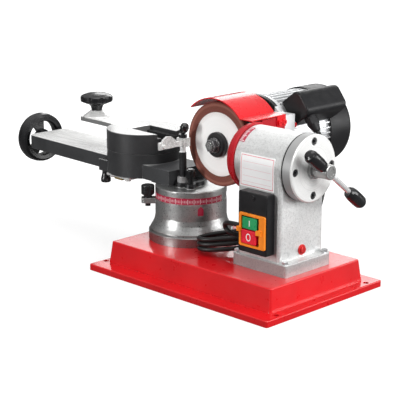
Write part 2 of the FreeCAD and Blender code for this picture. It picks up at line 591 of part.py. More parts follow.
quill = fuse([feed_rod(29.95, 117.0 - QUILL_X0, QUILL_X0),
              feed_rod(NOSE_R, QUILL_X0 - 33.2, 33.2)])
quill = quill.cut([feed_rod(9.0, 70, 52), feed_rod(16.0, 20, 102),
                   box(79, 113, -2.7, 2.7, FEED_Z - 32, FEED_Z - 26.0)]
                  + rods(2.05, 12, RETAINER_SCREWS, 30, X))
add("quill", quill)
add("feed_nut", tube(LEAD_R + 0.05, 16.0, 15.0, (102.0, 0, FEED_Z), X))

# retaining disc on the -X end, with three countersunk screws
retainer_holes = rods(2.2, 12, RETAINER_SCREWS, 25, X)
disc = feed_rod(25.0, 3.0, RETAINER_X).cut(
    retainer_holes + [cone(4.2, 2.2, 2.0, (RETAINER_X, y, z), X) for y, z in RETAINER_SCREWS])
add("quill", fuse([disc, feed_rod(NOSE_R, 0.2, RETAINER_X + 3.0).cut(retainer_holes)]))
add("quill", *[fuse([cone(4.1, 2.0, 1.95, (RETAINER_X, y, z), X),
                     cyl(2.0, 11.5, (RETAINER_X, y, z), X)]) for y, z in RETAINER_SCREWS])

# ------------------------------------------------------------------ head bracket
BRACKET_X1, BRACKET_Z0, BRACKET_Z1, SHIELD_Y = 37.2, 178.0, 239.0, 69.0
GUARD_SCREWS = [(55.6, 231.0), (64.6, 231.0)]                   # (y, z)
SHIELD_SCREWS = [(33.6, 186.0), (33.6, 204.0), (33.6, 222.0)]   # (x, z)

dial = soften(feed_rod(49.0, 6.8, 37.0), 1.0, at(longer=100), True)
plate = fuse([feed_rod(45.0, 7.2, 30.0),
              box(30.0, BRACKET_X1, 20.0, SHIELD_Y, BRACKET_Z0, BRACKET_Z1)])
bracket = fuse([dial, plate])
bracket = soften(bracket, 3.0, at(x=30.0, z=BRACKET_Z1, longer=40))
bracket = bracket.cut([feed_rod(20.0, 30, 25), feed_rod(25.15, 3.15, 29.9)])
bracket = bracket.cut(rods(2.05, 12, GUARD_SCREWS, 30.5, X)
                      + rods(2.55, 14, SHIELD_SCREWS, 56, Y))
add("head_bracket", bracket)

# scale plate wrapped on the barrel, high on the front
sector = prism([Vec(40, 0, FEED_Z), Vec(40, -55, FEED_Z + 43), Vec(40, -20, FEED_Z + 70)],
               Vec(30, 0, 0))
add("scale_plates", tube(COL_R, COL_R + 0.6, 8.6, (46.2, 0, FEED_Z), X).common(sector))


# ------------------------------------------------------------------ wheel guard
def spin_point(radius, degrees, y):
    """Point at a radius and angle round the wheel axis."""
    x, z = polar(radius, degrees, (WHEEL_X, WHEEL_Z))
    return Vec(x, y, z)


# arch over the wheel, ledge towards +X over the dial ring, skirt hanging from it
GUARD_R, GUARD_T, GUARD_Y0 = 70.0, 1.6, -4.0
ARCH_START, ARCH_MID, ARCH_END = 133.0, 88, 42.06   # degrees
SKIRT_X, SKIRT_DROP = 38.8, 17.5


def guard_point(radius, degrees):
    return spin_point(radius, degrees, GUARD_Y0)


guard_in = GUARD_R - GUARD_T
ledge_z = guard_point(GUARD_R, ARCH_END).z
skirt_in = SKIRT_X - GUARD_T
guard_path = [
    guard_point(GUARD_R, ARCH_END),
    Vec(SKIRT_X, GUARD_Y0, ledge_z),
    Vec(SKIRT_X, GUARD_Y0, ledge_z - SKIRT_DROP),
    Vec(skirt_in, GUARD_Y0, ledge_z - SKIRT_DROP),
    Vec(skirt_in, GUARD_Y0, ledge_z - GUARD_T),
    Vec(guard_point(guard_in, ARCH_END).x, GUARD_Y0, ledge_z - GUARD_T),
    guard_point(guard_in, ARCH_END)]
outer_arch = [guard_point(GUARD_R, a) for a in (ARCH_START, ARCH_MID, ARCH_END)]
inner_arch = [guard_point(guard_in, a) for a in (ARCH_END, ARCH_MID, ARCH_START)]
guard_wire = Part.Wire(
    [Part.Arc(*outer_arch).toShape()]
    + [Part.makeLine(start, end) for start, end in zip(guard_path, guard_path[1:])]
    + [Part.Arc(*inner_arch).toShape(), Part.makeLine(inner_arch[2], outer_arch[0])])
guard = Part.Face(guard_wire).extrude(Vec(0, SHIELD_Y - GUARD_Y0, 0))
guard = guard.cut([box(36.5, 45, -10, 50.5, 200, ledge_z - GUARD_T)]
                  + rods(2.2, 12, GUARD_SCREWS, 32, X))
add("wheel_guard", guard)
add("head_screws", *[screw(2.0, 4.0, 2.6, 6.0, (SKIRT_X, y, z), X, 2.5)
                     for y, z in GUARD_SCREWS])

# ------------------------------------------------------------------ motor
FIN_R, REAR_Y, BEARING_R = 60.2, 196.0, 17.5
CAP_ANGLE = 37.0                    # capacitor box, up from +X round the motor axis

shield = fuse([spin_rod(64.5, 7.0, 84.0),
               box(WHEEL_X + 40, BRACKET_X1, SHIELD_Y, 91.0, BRACKET_Z0, BRACKET_Z1),
               spin_rod(61.0, 12.0, 91.0), spin_rod(52.9, 4.0, 102.0)])
shield = shield.cut([spin_rod(BEARING_R, 10.2, 91.0), spin_rod(11.0, 40, 80),
                     spin_tube(24.0, 50.0, 6.0, 100.2)] + rods(2.6, 32, SHIELD_SCREWS, 66, Y))
add("front_shield", shield)
add("head_screws", *[screw(2.5, 4.3, 4.0, 33.0, (x, 91.0, z), Y, 4) for x, z in SHIELD_SCREWS])
add("motor_bearings", *[spin_tube(8.03, BEARING_R, 8.0, y) for y in (91.2, REAR_Y)])

# housing: no fins where the capacitor pad sits
FIN_PITCH = 7.5
fins = []
for k in range(48):
    angle = k * FIN_PITCH
    if abs((angle - CAP_ANGLE + 180) % 360 - 180) >= 19.0:
        fins.append(on_spindle(box(55.8, FIN_R, 0, 91.0, -1.15, 1.15), 104.0, angle))
pad = on_spindle(box(54.0, 66.5, 0, 80.0, -17.0, 17.0), 106.0, CAP_ANGLE)
pad = pad.cut(spin_rod(54.6, 100, 100))
add("motor_housing", fuse([spin_tube(53.0, 56.4, 93.0, 103.0)] + fins + [pad]))
add("stator", spin_tube(27.5, 52.95, 66.0, 117.0))
add("stator", *[Part.makeTorus(37.0, 6.3, Vec(WHEEL_X, y, WHEEL_Z), Y)
                for y in (110.2, 189.5)])

# fan cowl, its three screws and the rear shield they hold on to
COWL_SCREWS = (60, 180, 300)        # degrees
COWL_Y0, COWL_Y1, COWL_T = 190.0, 242.5, 1.6
SLOT_PITCH = 9.0


def radial_rods(radius, start, length):
    """Rods pointing outward at the cowl screws, from radius start."""
    return [cyl(radius, length, spin_point(start, a, 200.5),
                spin_point(1, a, 0) - Vec(WHEEL_X, 0, WHEEL_Z)) for a in COWL_SCREWS]


cowl = spin_rod(62.0, COWL_Y1 - COWL_Y0, COWL_Y0)
cowl = soften(cowl, 9.0, at(y=COWL_Y1))
cowl_hollow = spin_rod(62.0 - COWL_T, COWL_Y1 - COWL_T - COWL_Y0, COWL_Y0)
cowl_hollow = soften(cowl_hollow, 7.6, at(y=COWL_Y1 - COWL_T))
slots = []
for i in range(-4, 5):
    half = math.sqrt(46.0 ** 2 - (i * SLOT_PITCH) ** 2)
    mid_z = WHEEL_Z + i * SLOT_PITCH
    slots.append(box(WHEEL_X - half, WHEEL_X + half, 238.0, 245.0, mid_z - 1.8, mid_z + 1.8))
add("fan_cowl", cowl.cut([cowl_hollow] + slots + radial_rods(2.1, 58.0, 8)))
rear_shield = spin_rod(60.3, 9.0, REAR_Y).cut(
    [spin_rod(BEARING_R, 8.0, REAR_Y), spin_rod(9.5, 30, 190)] + radial_rods(2.05, 56.0, 12))
add("rear_shield", rear_shield)
add("head_screws", *[fuse([shank, head]) for shank, head in
                     zip(radial_rods(2.0, 56.1, 7.0), radial_rods(3.6, 62.0, 1.6))])

# ------------------------------------------------------------------ capacitor box
# modelled with +X pointing outward from the motor axis, then turned to CAP_ANGLE
GLAND_X, GLAND_Y = 90.0, 112.0


def gland_at(z):
    return GLAND_X, GLAND_Y, z


def end_edges(edge):
    centre = edge.CenterOfMass
    return (abs(centre.y - 98) < 0.01 or abs(centre.y - 188) < 0.01) and centre.x > 67


def outer_long_edges(edge):
    return edge.Length > 80 and edge.CenterOfMass.x > 100


cap_box = box(66.5, 104.5, 98.0, 188.0, -20.5, 20.5)
cap_box = soften(cap_box, 11.0, outer_long_edges)
cap_box = soften(cap_box, 3.0, end_edges)
cap_hollow = box(68.5, 102.5, 100.0, 186.0, -18.5, 18.5)
cap_hollow = soften(cap_hollow, 9.0, outer_long_edges)
cap_box = cap_box.cut([cap_hollow, cyl(5.0, 6, gland_at(-23.0))])
add("capacitor_box", on_spindle(cap_box, 0, CAP_ANGLE))
capacitor = fuse([cyl(16.0, 66.0, (84.5, 118.0, 0), Y), cyl(3.0, 4.0, (84.5, 114.0, 0), Y)])
add("capacitor", on_spindle(capacitor, 0, CAP_ANGLE))
gland = fuse([cyl(9.0, 3.0, gland_at(-23.5)), hexagon(17, 10.0, gland_at(-33.5)),
              cone(5.2, 8.6, 11.0, gland_at(-44.5))]).cut(cyl(3.6, 40, gland_at(-50.0)))
add("cable_gland", on_spindle(gland, 0, CAP_ANGLE))

# ------------------------------------------------------------------ spindle and wheel
SHAFT_R, ROTOR_SHAFT_R = 6.0, 8.0
WHEEL_R, WHEEL_Y0, WHEEL_Y1, RING_IN = 62.5, 6.0, 16.0, 47.6
# (radius, y)
ABRASIVE_PROFILE = [(RING_IN, 6.3), (58.0, WHEEL_Y0), (61.6, WHEEL_Y0), (WHEEL_R, 6.9),
                    (WHEEL_R, 13.0), (60.0, WHEEL_Y1), (RING_IN, WHEEL_Y1)]

add("motor_shaft", fuse([spin_rod(SHAFT_R, 36.2, -14.0), spin_rod(ROTOR_SHAFT_R, 184.0, 22.0),
                         spin_rod(10.0, 5.0, 86.0), spin_rod(SHAFT_R, 20.0, 206.0)]))
add("rotor", spin_tube(ROTOR_SHAFT_R, 27.0, 62.0, 119.0))
blades = [on_spindle(box(12.0, 50.0, 209.0, 223.0, -0.9, 0.9), 0, -45 * k) for k in range(8)]
add("cooling_fan", fuse([spin_tube(SHAFT_R, 13.0, 15.0, 208.0),
                         spin_tube(12.5, 52.0, 1.6, 208.0)] + blades))
add("wheel_flanges", fuse([spin_tube(SHAFT_R, 18.5, 4.0, 15.5),
                           spin_tube(SHAFT_R, 14.0, 2.5, 19.5)]))
add("wheel_body", spin_tube(SHAFT_R, RING_IN, 9.0, 6.5))
add("abrasive_ring", moved(turned(ABRASIVE_PROFILE, Y), (WHEEL_X, 0, WHEEL_Z)))
front_flange = soften(spin_rod(18.6, 8.5, -2.0), 2.4, at(y=-2.0), True)
add("wheel_flanges", front_flange.cut(spin_rod(SHAFT_R, 20, -5)))
add("wheel_nut", fuse([hexagon(17, 8.0, (WHEEL_X, -3.8, WHEEL_Z), Y * -1, SHAFT_R),
                       spin_tube(SHAFT_R, 11.0, 1.8, -3.8)]))

# ------------------------------------------------------------------ switch
BOX_X0, BOX_X1, BOX_Z0, BOX_Z1 = 68.6, 121.7, 71.0, 158.0
BOX_Y, BOX_WALL = -62.0, 2.2        # front face, wall thickness
BUTTON_BACK = -58.4
# node, z0, z1, front face y
BUTTONS = [("start_button", 105.6, 122.6, BOX_Y - 2.4),
           ("stop_button", 85.2, 104.4, BOX_Y - 4.4)]

window = box(76.5, 110.0, -70, -55, 84.0, 124.5)
switch_box = box(BOX_X0, BOX_X1, BOX_Y, -COL_R, BOX_Z0, BOX_Z1)
switch_box = soften(switch_box, 3.0, at(y=(BOX_Y - COL_R) / 2))
switch_box = soften(switch_box, 1.5, at(y=BOX_Y))
switch_box = switch_box.cut([
    box(BOX_X0 + BOX_WALL, BOX_X1 - BOX_WALL, BOX_Y + BOX_WALL, -COL_R + 1,
        BOX_Z0 + BOX_WALL, BOX_Z1 - BOX_WALL),
    window, cyl(2.2, 6, (BOX_SCREW_X, BOX_Y - 1, BOX_SCREW_Z), Y),
    cyl(4.2, 8, (BOX_X0 - 2, -54.0, 104.0), X)])
add("switch_box", switch_box)
box_screw = fuse([cyl(3.6, 1.8, (BOX_SCREW_X, BOX_Y - 1.8, BOX_SCREW_Z), Y),
                  cyl(2.15, 22.0, (BOX_SCREW_X, BOX_Y, BOX_SCREW_Z), Y)])
add("switch_box", box_screw.cut(box(93, 100, BOX_Y - 2.5, BOX_Y - 1.0, 151.1, 151.9)))

frame = box(72.6, 120.4, BOX_Y - 3.0, BOX_Y, 80.4, 128.2)
frame = soften(frame, 2.5, at(y=BOX_Y - 1.5))
frame = soften(frame, 0.8, at(y=BOX_Y - 3.0))
frame = frame.cut(window)
frame = fuse([frame, box(106.6, 116.0, BOX_Y - 6.0, BOX_Y - 2.0, 101.0, 107.6),
              box(70.6, 76.6, BOX_Y - 6.0, BOX_Y - 1.5, 101.0, 107.6),
              box(109.0, 112.0, BOX_Y - 2.5, BOX_Y - 0.1, 100.0, 108.6)])
add("switch_frame", frame)

button_holes = []
for name, z0, z1, front in BUTTONS:
    stem_at = (92.0, BUTTON_BACK, (z0 + z1) / 2)
    button = box(78.2, 105.6, front, BUTTON_BACK, z0, z1)
    button = soften(button, 1.6, at(y=(front + BUTTON_BACK) / 2))
    button = soften(button, 1.0, at(y=front))
    add(name, fuse([button, cyl(2.95, 9.0, stem_at, Y)]))
    button_holes.append(cyl(3.0, 16.5, (92.0, -60, stem_at[2]), Y))
block = box(79.0, 105.0, -54.8, -37.0, 84.5, 124.0).cut(button_holes)
add("contact_block", fuse([block, box(71.0, 79.5, -48.0, -46.0, 96, 112),
                           box(104.5, 113.0, -48.0, -46.0, 96, 112)]))

# ------------------------------------------------------------------ cords
# power cord: from the switch box down to the platform, then three flat coils
cord = [(70.5, -54.0, 104.0), (58, -53.0, 104.2), (40, -51, 102.5), (29, -46, 98),
        (26, -43, 92), (30, -42, 87.0)]
COIL_MID = Vec(6, -20, 0)
COIL_LONG, COIL_SHORT = Vec(30, 26, 5.0), Vec(-9, 11, -1)     # half axes
COIL_TURNS, COIL_STEPS = 3, 10
for i in range(COIL_TURNS * COIL_STEPS + 1):
    turn = i / COIL_STEPS
    angle = 2 * math.pi * turn
    drift = Vec(0.6 * turn, -0.2 * turn, 74.2 - 7.2 * turn)
    cord.append(COIL_MID + COIL_LONG * math.cos(angle)
                + COIL_SHORT * (math.sin(angle) * (1.0 + 0.1 * turn)) + drift)
add("power_cord", sweep(cord, 3.4))

# motor cord: from the cable gland down into the back of the column
gland_end = Rotation(Y, -CAP_ANGLE).multVec(Vec(GLAND_X, 0, -45.2))
gland_end = gland_end + Vec(WHEEL_X, GLAND_Y, WHEEL_Z)
# offsets from the gland end
HANGING = [(0, 0, 0), (9, 0, -13), (20, -4, -45), (26, -16, -85), (29, -34, -115)]
add("motor_cord", sweep([gland_end + Vec(*offset) for offset in HANGING]
                        + [(COL_MID, 60, 85.5), (COL_MID, 50, 84), (COL_MID, 40, 84)], 3.2))

for name, solids in NODES.items():
    shape = solids[0] if len(solids) == 1 else Part.makeCompound(solids)
    shape.exportStep("parts/%s.step" % name)
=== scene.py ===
"""Looks and studio for a bench machine that grinds blades.

The machine stands on z = 0. The wheel and motor share an axis along Y; the feed hub's axis runs
along X. The slide arm leaves the turntable towards -X, swung by YAW towards +Y. The camera looks
from +X and -Y.
"""

import bmesh
import bpy
import math
from mathutils import Matrix, Vector


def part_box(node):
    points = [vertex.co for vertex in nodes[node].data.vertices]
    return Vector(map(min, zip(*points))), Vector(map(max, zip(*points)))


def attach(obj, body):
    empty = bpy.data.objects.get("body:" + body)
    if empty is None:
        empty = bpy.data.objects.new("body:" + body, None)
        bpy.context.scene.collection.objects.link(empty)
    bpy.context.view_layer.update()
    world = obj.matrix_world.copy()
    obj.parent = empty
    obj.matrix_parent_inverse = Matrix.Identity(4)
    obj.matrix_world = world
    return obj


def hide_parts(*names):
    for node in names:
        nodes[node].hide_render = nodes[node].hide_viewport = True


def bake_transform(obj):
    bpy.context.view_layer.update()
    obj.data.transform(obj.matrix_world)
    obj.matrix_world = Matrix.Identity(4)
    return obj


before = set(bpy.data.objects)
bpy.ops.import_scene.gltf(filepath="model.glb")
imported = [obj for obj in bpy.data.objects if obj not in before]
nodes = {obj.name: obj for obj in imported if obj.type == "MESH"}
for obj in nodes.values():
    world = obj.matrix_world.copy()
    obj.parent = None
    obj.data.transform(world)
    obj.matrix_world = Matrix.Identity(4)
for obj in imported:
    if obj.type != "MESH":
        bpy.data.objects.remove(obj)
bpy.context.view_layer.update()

# Driving places, in metres and radians
X, Y, Z = range(3)
TURN_X, TURN_Y = -0.094, 0.007         # the turntable's upright axis
YAW = 0.05                             # swing of the slide arm
ARM = tuple(Vector((-math.cos(YAW), math.sin(YAW), 0)))
WHEEL = (-0.036, 0, 0.195)             # centre of the grinding wheel
CORE_RADIUS = 0.0476                   # where the wheel's core meets the abrasive
HUB_Z = 0.191                          # height of the feed hub's axis


def grey(level):
    return (level, level, level)


def toned(colour, gain, lift=0.0, cap=1.0):
    """A colour made darker or lighter, held below cap."""
    return [min(cap, c * gain + lift) for c in colour]


# ---------------------------------------------------------------- shader kit
class Surface:
    """A principled material and the helpers that build its node graph."""

    def __init__(self, name):
        self.material = bpy.data.materials.new(name)
        self.material.use_nodes = True
        self.tree = self.material.node_tree
        self.tree.nodes.clear()
        output = self.node("OutputMaterial")
        self.shader = self.node("BsdfPrincipled")
        self.tree.links.new(self.shader.outputs[0], output.inputs[0])
        self.position = self.node("TexCoord").outputs["Object"]
        self.normal = None

    def node(self, kind, **props):
        node = self.tree.nodes.new("ShaderNode" + kind)
        for key, value in props.items():
            setattr(node, key, value)
        return node

    def put(self, socket, value):
        """Link a socket, or set its value; three-part colours gain an alpha of 1."""
        if isinstance(value, bpy.types.NodeSocket):
            self.tree.links.new(value, socket)
        elif isinstance(value, (tuple, list)) and len(value) == 3 and socket.type == "RGBA":
            socket.default_value = (*value, 1)
        else:
            socket.default_value = value

    def set(self, **inputs):
        for key, value in inputs.items():
            self.put(self.shader.inputs[key.replace("_", " ")], value)

    def math(self, operation, a, b=0.0):
        node = self.node("Math", operation=operation)
        for socket, value in zip(node.inputs, (a, b, 0.0)):
            self.put(socket, value)
        return node.outputs[0]

    def mul(self, a, b):
        return self.math("MULTIPLY", a, b)

    def add(self, a, b):
        return self.math("ADD", a, b)

    def vector(self, operation, a, b):
        node = self.node("VectorMath", operation=operation)
        self.put(node.inputs[0], a)
        self.put(node.inputs[1], b)
        return node.outputs["Value" if operation == "DOT_PRODUCT" else "Vector"]

    def dot(self, a, b):
        return self.vector("DOT_PRODUCT", a, b)

    def offset(self, centre):
        return self.vector("SUBTRACT", self.position, centre)

    def length(self, vector):
        node = self.node("VectorMath", operation="LENGTH")
        self.put(node.inputs[0], vector)
        return node.outputs["Value"]

    def scaled(self, vector, factor):
        node = self.node("VectorMath", operation="SCALE")
        self.put(node.inputs[0], vector)
        self.put(node.inputs["Scale"], factor)
        return node.outputs[0]

    def xyz(self, vector=None):
        node = self.node("SeparateXYZ")
        self.put(node.inputs[0], vector or self.position)
        return node.outputs[0], node.outputs[1], node.outputs[2]

    def combine(self, x, y=0.0):
        node = self.node("CombineXYZ")
        self.put(node.inputs[0], x)
        self.put(node.inputs[1], y)
        return node.outputs[0]

    def radius(self, a, b):
        return self.math("SQRT", self.add(self.mul(a, a), self.mul(b, b)))

    def stretched(self, scale, rot):
        node = self.node("Mapping")
        self.put(node.inputs["Vector"], self.position)
        node.inputs["Rotation"].default_value = rot
        node.inputs["Scale"].default_value = scale
        return node.outputs[0]

    def noise(self, scale, detail=3.0, rough=0.55, at=None):
        node = self.node("TexNoise")
        self.put(node.inputs["Vector"], at or self.position)
        node.inputs["Scale"].default_value = scale
        node.inputs["Detail"].default_value = detail
        node.inputs["Roughness"].default_value = rough
        return node.outputs[0]

    def cells(self, scale):
        node = self.node("TexVoronoi")
        self.put(node.inputs["Vector"], self.position)
        node.inputs["Scale"].default_value = scale
        return node.outputs["Distance"]

    def span(self, value, window, to=(0.0, 1.0), smooth=False):
        """Remap a value from a window (either way round) to another, clamped."""
        kind = "SMOOTHSTEP" if smooth else "LINEAR"
        node = self.node("MapRange", clamp=True, interpolation_type=kind)
        for socket, item in zip(node.inputs, (value, *window, *to)):
            self.put(socket, item)
        return node.outputs[0]

    def within(self, value, low, high, outer, inner):
        """1 between low and high; each flank starts `outer` outside and ends `inner` inside."""
        return self.mul(self.span(value, (low - outer, low + inner)),
                        self.span(value, (high + outer, high - inner)))

    def mix(self, factor, a, b, blend="MIX"):
        node = self.node("Mix", data_type="RGBA", blend_type=blend)
        for index, value in ((0, factor), (6, a), (7, b)):
            self.put(node.inputs[index], value)
        return node.outputs[2]

    def lerp(self, factor, a, b):
        node = self.node("Mix", data_type="FLOAT")
        for index, value in ((0, factor), (2, a), (3, b)):
            self.put(node.inputs[index], value)
        return node.outputs[0]

    def ramp(self, value, window, a, b):
        """Colour a at the window's start, b at its end."""
        return self.mix(self.span(value, window), a, b)

    def tint(self, base, mask, amount, colour):
        return self.mix(self.mul(mask, amount), base, colour)

    def darken(self, base, mask, factor):
        return self.mix(mask, base, self.mix(1.0, base, grey(factor), "MULTIPLY"))

    def facing(self, axis, window, smooth=True):
        """1 where the surface looks along axis, in the piece's own frame."""
        normal = self.node("TexCoord").outputs["Normal"]
        return self.span(self.dot(normal, axis), window, smooth=smooth)

    def soften(self, radius):
        """Round the shaded edges."""
        node = self.node("Bevel", samples=4)
        node.inputs["Radius"].default_value = radius
        self.normal = node.outputs[0]

    def edges(self, radius):
        """Round the shaded edges and return their mask."""
        self.soften(radius)
        true_normal = self.node("NewGeometry").outputs["Normal"]
        return self.span(self.dot(self.normal, true_normal), (0.999, 0.86), smooth=True)

    def zones(self, base, zones):
        """Bands of a piece in another colour: (axis, from, to, colour), in metres."""
        coords = self.xyz()
        for axis, low, high, colour in zones:
            mask = self.within(coords[axis], low, high, outer=0.00005, inner=0.00005)
            base = self.mix(mask, base, colour)
        return base

    def bump(self, height, distance, strength):
        """Add a layer of relief over the earlier ones."""
        node = self.node("Bump")
        node.inputs["Strength"].default_value = strength
        node.inputs["Distance"].default_value = distance
        self.put(node.inputs["Height"], height)
        if self.normal is not None:
            self.put(node.inputs["Normal"], self.normal)
        self.normal = node.outputs[0]
        self.put(self.shader.inputs["Normal"], self.normal)


# ---------------------------------------------------------------- finishes
def enamel(name, colour, rough=0.32):
    """Sprayed gloss enamel: slow shade drift, orange peel, thin and chipped paint on edges."""
    mat = Surface(name)
    edge = mat.edges(0.0007)
    drift = mat.noise(9, detail=4, rough=0.6)
    fine = mat.noise(420, detail=2, rough=0.5)
    base = mat.ramp(drift, (0.35, 0.7), toned(colour, 0.82), colour)
    chip = mat.mul(edge, mat.span(mat.noise(260, detail=4, rough=0.7), (0.60, 0.68)))
    base = mat.tint(base, edge, 0.22, toned(colour, 1.15, lift=0.05))
    base = mat.tint(base, chip, 0.55, (0.10, 0.055, 0.05))
    streaks = mat.stretched(scale=(1.0, 9.0, 3.0), rot=(0.3, 0.2, 0.5))
    scratch = mat.span(mat.noise(38, detail=6, rough=0.75, at=streaks), (0.66, 0.74))
    patches = mat.noise(60, detail=4, rough=0.6)
    mat.set(Base_Color=base,
            Roughness=mat.add(mat.span(patches, (0.3, 0.75), to=(rough - 0.06, rough + 0.08)),
                              mat.mul(scratch, 0.10)),
            Coat_Weight=0.5,
            Coat_Roughness=mat.span(fine, (0.3, 0.7), to=(0.05, 0.12)),
            Coat_IOR=1.4,
            Specular_IOR_Level=0.25)
    mat.bump(mat.noise(260, detail=2, rough=0.5), distance=0.0006, strength=0.0175)
    mat.bump(fine, distance=0.0003, strength=0.035)
    return mat.material


def casting(name, colour, grain, speck, metal=0.72, rough=0.42, zones=(), front=1.0, foot=None):
    """Aluminium-pigment paint over a sand casting: grain, flakes, rubbed edges, grime.

    front paints shade on the faces towards -Y, scaling their colour by that factor; foot =
    (height, factor) paints shade on what is below a height.
    """
    mat = Surface(name)
    edge = mat.edges(0.0009)
    sand = mat.noise(520, detail=5, rough=0.65)
    lumps = mat.noise(110, detail=4, rough=0.55)
    flake = mat.cells(1500)
    drift = mat.noise(14, detail=5, rough=0.6)
    base = mat.ramp(drift, (0.3, 0.72), toned(colour, 0.86), toned(colour, 1.06))
    mottle = mat.noise(330, detail=5, rough=0.75)
    for source, window, amount, gain, lift in (
            (flake, (0.30, 0.12), 0.28, 1.45, 0.04),
            (sand, (0.44, 0.30), 0.42, 0.42, 0.0),
            (mottle, (0.50, 0.34), 0.34, 0.38, 0.0),
            (mottle, (0.54, 0.68), 0.22, 1.35, 0.0)):
        speckle = mat.span(source, window)
        base = mat.tint(base, speckle, amount * speck, toned(colour, gain, lift))
    grime = mat.mul(mat.span(mat.noise(26, detail=6, rough=0.7), (0.56, 0.74)), 0.20)
    base = mat.mix(grime, base, toned(colour, 0.5))
    rubbed = mat.span(mat.noise(180, detail=4), (0.3, 0.6), to=(0.15, 0.75))
    base = mat.tint(base, edge, rubbed, (0.74, 0.74, 0.73))
    # painted shade: faces towards -Y are darkened by the front factor
    if front < 1:
        base = mat.darken(base, mat.facing((0, -1, 0), (0.8, 0.98)), front)
    base = mat.zones(base, zones)
    # painted shade: everything below the foot height is darkened by its factor
    if foot:
        height, factor = foot
        below = mat.within(mat.xyz()[Z], -1.0, height, outer=0.0005, inner=0.0005)
        base = mat.darken(base, below, factor)
    mat.set(Base_Color=base,
            Metallic=mat.add(metal, mat.mul(edge, 0.2)),
            Roughness=mat.span(sand, (0.3, 0.7), to=(rough - 0.08, rough + 0.14)),
            Coat_Weight=0.12,
            Coat_Roughness=0.25)
    mat.bump(lumps, distance=0.0016, strength=0.10 * grain)
    mat.bump(sand, distance=0.0006, strength=0.30 * grain)
    return mat.material


def worn_metal(mat, line, stain, stain_window, stain_amount, edge, colours):
    """Base of a machined metal; colours are line dark, line light, stain and edge."""
    dark, light, stained, bright = colours
    base = mat.ramp(line, (0.3, 0.7), dark, light)
    base = mat.tint(base, mat.span(stain, stain_window), stain_amount, stained)
    return mat.tint(base, edge, 0.35, bright)


def turned(name, colour, centre, axis, rough, metal=1.0, edge_radius=0.0004, relief=0.5,
           stains=1.0, zones=()):
    """Lathe-finished metal: fine rings about an axis, brighter edges, faint stains."""
    mat = Surface(name)
    edge = mat.edges(edge_radius)
    offset = mat.offset(centre)
    along = mat.dot(offset, axis)
    radial = mat.length(mat.vector("SUBTRACT", offset, mat.scaled(axis, along)))
    profile = mat.combine(radial, along)
    ring_scale = 2600
    ring = mat.noise(ring_scale, detail=2, rough=0.6, at=profile)
    wide = mat.noise(ring_scale / 9, detail=2, rough=0.6, at=profile)
    base = worn_metal(mat, ring, mat.noise(45, detail=5, rough=0.7), (0.55, 0.75), 0.25 * stains,
                      edge, (toned(colour, 0.84), toned(colour, 1.06), toned(colour, 0.55),
                             toned(colour, 1.35, lift=0.04, cap=0.95)))
    mat.set(Base_Color=mat.zones(base, zones),
            Metallic=metal,
            Roughness=mat.add(mat.span(ring, (0.25, 0.75), to=(rough - 0.06, rough + 0.10)),
                              mat.span(wide, (0.4, 0.7), to=(0.0, 0.05))),
            Anisotropic=0.4)
    mat.bump(wide, distance=0.0004, strength=0.10 * relief)
    mat.bump(ring, distance=0.00012, strength=0.35 * relief)
    return mat.material


def ground(name, colour, metal, yaw=0.0, rough=0.24, edge_radius=0.0004, zones=(), top=None,
           edge_highlight=None):
    """Surface-ground metal: straight grinding lines along the piece, light stains.

    top recolours the upward faces; the edge colour argument paints a highlight on the edges.
    """
    mat = Surface(name)
    edge = mat.edges(edge_radius)
    line = mat.noise(1.0, detail=4, rough=0.7,
                     at=mat.stretched(scale=(22, 2600, 2600), rot=(0, 0, yaw)))
    wide = mat.noise(1.0, detail=3, rough=0.6,
                     at=mat.stretched(scale=(9, 210, 210), rot=(0, 0, yaw)))
    base = worn_metal(mat, line, mat.noise(40, detail=6, rough=0.7), (0.55, 0.78), 0.22,
                      edge, (toned(colour, 0.78), toned(colour, 1.1), toned(colour, 0.5),
                             toned(colour, 1.35, lift=0.04, cap=0.95)))
    # painted highlight: edges mixed almost fully towards the given colour
    if edge_highlight:
        base = mat.tint(base, edge, 0.9, edge_highlight)
    if top:
        base = mat.mix(mat.facing((0, 0, 1), (0.85, 0.97)), base, top)
    mat.set(Base_Color=mat.zones(base, zones),
            Metallic=metal,
            Roughness=mat.add(mat.span(line, (0.3, 0.7), to=(rough - 0.05, rough + 0.10)),
                              mat.span(wide, (0.4, 0.7), to=(0, 0.05))))
    mat.bump(line, distance=0.00012, strength=0.3)
    mat.bump(wide, distance=0.0003, strength=0.08)
    return mat.material


def plastic(name, colour, rough, grain, spec=0.4, coat=0.0, lift=1.8, dust=0.12):
    """Moulded plastic: fine grain, worn shiny edges, a little dust on upward faces."""
    mat = Surface(name)
    edge = mat.edges(0.0006)
    texture = mat.noise(1500, detail=3, rough=0.6)
    flow = mat.noise(35, detail=5, rough=0.6)
    base = mat.ramp(flow, (0.3, 0.7), toned(colour, 0.8), toned(colour, 1.2, lift=0.002))
    base = mat.tint(base, edge, 0.5, toned(colour, lift, lift=0.03))
    settled = mat.mul(mat.facing((0, 0, 1), (0.5, 1.0), smooth=False),
                      mat.span(mat.noise(90, detail=6, rough=0.75), (0.45, 0.75)))
    mat.set(Base_Color=mat.tint(base, settled, dust, (0.42, 0.41, 0.40)),
            Roughness=mat.add(mat.span(flow, (0.3, 0.75), to=(rough - 0.05, rough + 0.1)),
                              mat.mul(edge, -0.08)),
            Specular_IOR_Level=spec,
            Coat_Weight=coat,
            Coat_Roughness=0.12)
    mat.bump(flow, distance=0.0006, strength=0.05)
    mat.bump(texture, distance=0.00016, strength=0.5 * grain)
    return mat.material


